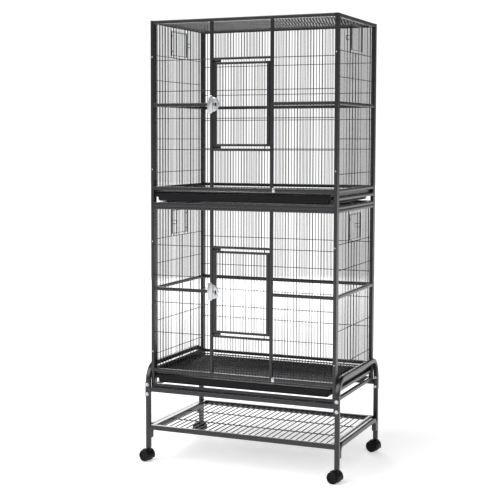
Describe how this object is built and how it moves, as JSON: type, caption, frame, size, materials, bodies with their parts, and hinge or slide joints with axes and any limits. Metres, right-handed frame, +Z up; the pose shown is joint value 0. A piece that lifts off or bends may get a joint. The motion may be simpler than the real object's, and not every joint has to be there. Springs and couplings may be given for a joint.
{
  "type": "bird cage on stand",
  "caption": "Two-tier wire flight cage on a rolling stand: stacked cages with front doors, feeder doors and slide-out trays over an open wire shelf.",
  "frame": {"origin": "on the floor, under the middle of the stand and the cages", "axes": "+Z up; -Y is the front, where the doors open and the trays pull out; +X is to the right seen from the front"},
  "size_m": [0.8957, 0.5993, 1.8528],
  "materials": {
    "charcoal_coat": "charcoal powder coat, satin",
    "black_plastic": "black moulded plastic, soft sheen",
    "zinc_plate": "bright zinc plate",
    "castor_tread": "black moulded wheel plastic"
  },
  "bodies": {
    "cage_and_stand": {"lower_front_panel": "charcoal_coat", "lower_back_panel": "charcoal_coat", "lower_left_panel": "charcoal_coat", "lower_right_panel": "charcoal_coat", "lower_top_panel": "charcoal_coat", "lower_latch_plate": "zinc_plate", "lower_floor_clip": "zinc_plate", "upper_front_panel": "charcoal_coat", "upper_back_panel": "charcoal_coat", "upper_left_panel": "charcoal_coat", "upper_right_panel": "charcoal_coat", "upper_top_panel": "charcoal_coat", "upper_latch_plate": "zinc_plate", "upper_floor_clip": "zinc_plate", "end_frame_left": "charcoal_coat", "shelf_hoop_left": "charcoal_coat", "end_frame_right": "charcoal_coat", "shelf_hoop_right": "charcoal_coat", "front_rail": "charcoal_coat", "rear_rail": "charcoal_coat", "shelf": "charcoal_coat", "front_left_leg": "charcoal_coat", "bolt_front_left_low": "zinc_plate", "bolt_front_left_high": "zinc_plate", "castor_socket_front_left": "black_plastic", "rear_left_leg": "charcoal_coat", "bolt_rear_left_low": "zinc_plate", "bolt_rear_left_high": "zinc_plate", "castor_socket_rear_left": "black_plastic", "front_right_leg": "charcoal_coat", "bolt_front_right_low": "zinc_plate", "bolt_front_right_high": "zinc_plate", "castor_socket_front_right": "black_plastic", "rear_right_leg": "charcoal_coat", "bolt_rear_right_low": "zinc_plate", "bolt_rear_right_high": "zinc_plate", "castor_socket_rear_right": "black_plastic"},
    "lower_door": {"lower_door": "charcoal_coat"},
    "lower_latch_lever": {"lower_latch_lever": "zinc_plate"},
    "lower_cup_door_left": {"lower_cup_door_left": "charcoal_coat"},
    "lower_cup_door_right": {"lower_cup_door_right": "charcoal_coat"},
    "lower_tray": {"lower_tray": "black_plastic", "lower_tray_walls": "black_plastic"},
    "lower_floor_grille": {"lower_floor_grille": "charcoal_coat"},
    "upper_door": {"upper_door": "charcoal_coat"},
    "upper_latch_lever": {"upper_latch_lever": "zinc_plate"},
    "upper_cup_door_left": {"upper_cup_door_left": "charcoal_coat"},
    "upper_cup_door_right": {"upper_cup_door_right": "charcoal_coat"},
    "upper_tray": {"upper_tray": "black_plastic", "upper_tray_walls": "black_plastic"},
    "upper_floor_grille": {"upper_floor_grille": "charcoal_coat"},
    "castor_front_left": {"castor_hood_front_left": "black_plastic"},
    "castor_wheels_front_left": {"castor_wheels_front_left": "castor_tread"},
    "castor_rear_left": {"castor_hood_rear_left": "black_plastic"},
    "castor_wheels_rear_left": {"castor_wheels_rear_left": "castor_tread"},
    "castor_front_right": {"castor_hood_front_right": "black_plastic"},
    "castor_wheels_front_right": {"castor_wheels_front_right": "castor_tread"},
    "castor_rear_right": {"castor_hood_rear_right": "black_plastic"},
    "castor_wheels_rear_right": {"castor_wheels_rear_right": "castor_tread"}
  },
  "joints": [
    {"name": "lower_door_hinge", "type": "hinge", "parent": "cage_and_stand", "child": "lower_door", "pos_m": [0.1007, -0.2595, 0.7384], "axis": [0, 0, 1], "range_deg": [0, 120]},
    {"name": "lower_latch_turn", "type": "hinge", "parent": "lower_door", "child": "lower_latch_lever", "pos_m": [-0.11945, -0.2691, 0.7384], "axis": [0, 1, 0], "range_deg": [0, 90]},
    {"name": "lower_cup_door_left_hinge", "type": "hinge", "parent": "cage_and_stand", "child": "lower_cup_door_left", "pos_m": [-0.3995, 0.073, 1.0059], "axis": [0, 0, -1], "range_deg": [0, 110]},
    {"name": "lower_cup_door_right_hinge", "type": "hinge", "parent": "cage_and_stand", "child": "lower_cup_door_right", "pos_m": [0.3995, -0.073, 1.0059], "axis": [0, 0, -1], "range_deg": [0, 110]},
    {"name": "lower_tray_slide", "type": "slide", "parent": "cage_and_stand", "child": "lower_tray", "axis": [0, -1, 0], "range_m": [0, 0.46]},
    {"name": "lower_floor_slide", "type": "slide", "parent": "cage_and_stand", "child": "lower_floor_grille", "axis": [0, -1, 0], "range_m": [0, 0.45]},
    {"name": "upper_door_hinge", "type": "hinge", "parent": "cage_and_stand", "child": "upper_door", "pos_m": [0.1007, -0.2595, 1.5048], "axis": [0, 0, 1], "range_deg": [0, 120]},
    {"name": "upper_latch_turn", "type": "hinge", "parent": "upper_door", "child": "upper_latch_lever", "pos_m": [-0.11945, -0.2691, 1.5048], "axis": [0, 1, 0], "range_deg": [0, 90]},
    {"name": "upper_cup_door_left_hinge", "type": "hinge", "parent": "cage_and_stand", "child": "upper_cup_door_left", "pos_m": [-0.3995, -0.073, 1.7723], "axis": [0, 0, 1], "range_deg": [0, 110]},
    {"name": "upper_cup_door_right_hinge", "type": "hinge", "parent": "cage_and_stand", "child": "upper_cup_door_right", "pos_m": [0.3995, 0.073, 1.7723], "axis": [0, 0, 1], "range_deg": [0, 110]},
    {"name": "upper_tray_slide", "type": "slide", "parent": "cage_and_stand", "child": "upper_tray", "axis": [0, -1, 0], "range_m": [0, 0.46]},
    {"name": "upper_floor_slide", "type": "slide", "parent": "cage_and_stand", "child": "upper_floor_grille", "axis": [0, -1, 0], "range_m": [0, 0.45]},
    {"name": "castor_front_left_swivel", "type": "hinge", "parent": "cage_and_stand", "child": "castor_front_left", "pos_m": [-0.417, -0.272, 0.0563], "axis": [0, 0, 1], "continuous": true},
    {"name": "castor_front_left_roll", "type": "hinge", "parent": "castor_front_left", "child": "castor_wheels_front_left", "pos_m": [-0.42874, -0.2695, 0.025], "axis": [-0.2079, -0.9781, 0], "continuous": true},
    {"name": "castor_rear_left_swivel", "type": "hinge", "parent": "cage_and_stand", "child": "castor_rear_left", "pos_m": [-0.417, 0.272, 0.0563], "axis": [0, 0, 1], "continuous": true},
    {"name": "castor_rear_left_roll", "type": "hinge", "parent": "castor_rear_left", "child": "castor_wheels_rear_left", "pos_m": [-0.42874, 0.27449, 0.025], "axis": [-0.2079, -0.9781, 0], "continuous": true},
    {"name": "castor_front_right_swivel", "type": "hinge", "parent": "cage_and_stand", "child": "castor_front_right", "pos_m": [0.417, -0.272, 0.0563], "axis": [0, 0, 1], "continuous": true},
    {"name": "castor_front_right_roll", "type": "hinge", "parent": "castor_front_right", "child": "castor_wheels_front_right", "pos_m": [0.40526, -0.2695, 0.025], "axis": [-0.2079, -0.9781, 0], "continuous": true},
    {"name": "castor_rear_right_swivel", "type": "hinge", "parent": "cage_and_stand", "child": "castor_rear_right", "pos_m": [0.417, 0.272, 0.0563], "axis": [0, 0, 1], "continuous": true},
    {"name": "castor_rear_right_roll", "type": "hinge", "parent": "castor_rear_right", "child": "castor_wheels_rear_right", "pos_m": [0.40526, 0.27449, 0.025], "axis": [-0.2079, -0.9781, 0], "continuous": true}
  ]
}
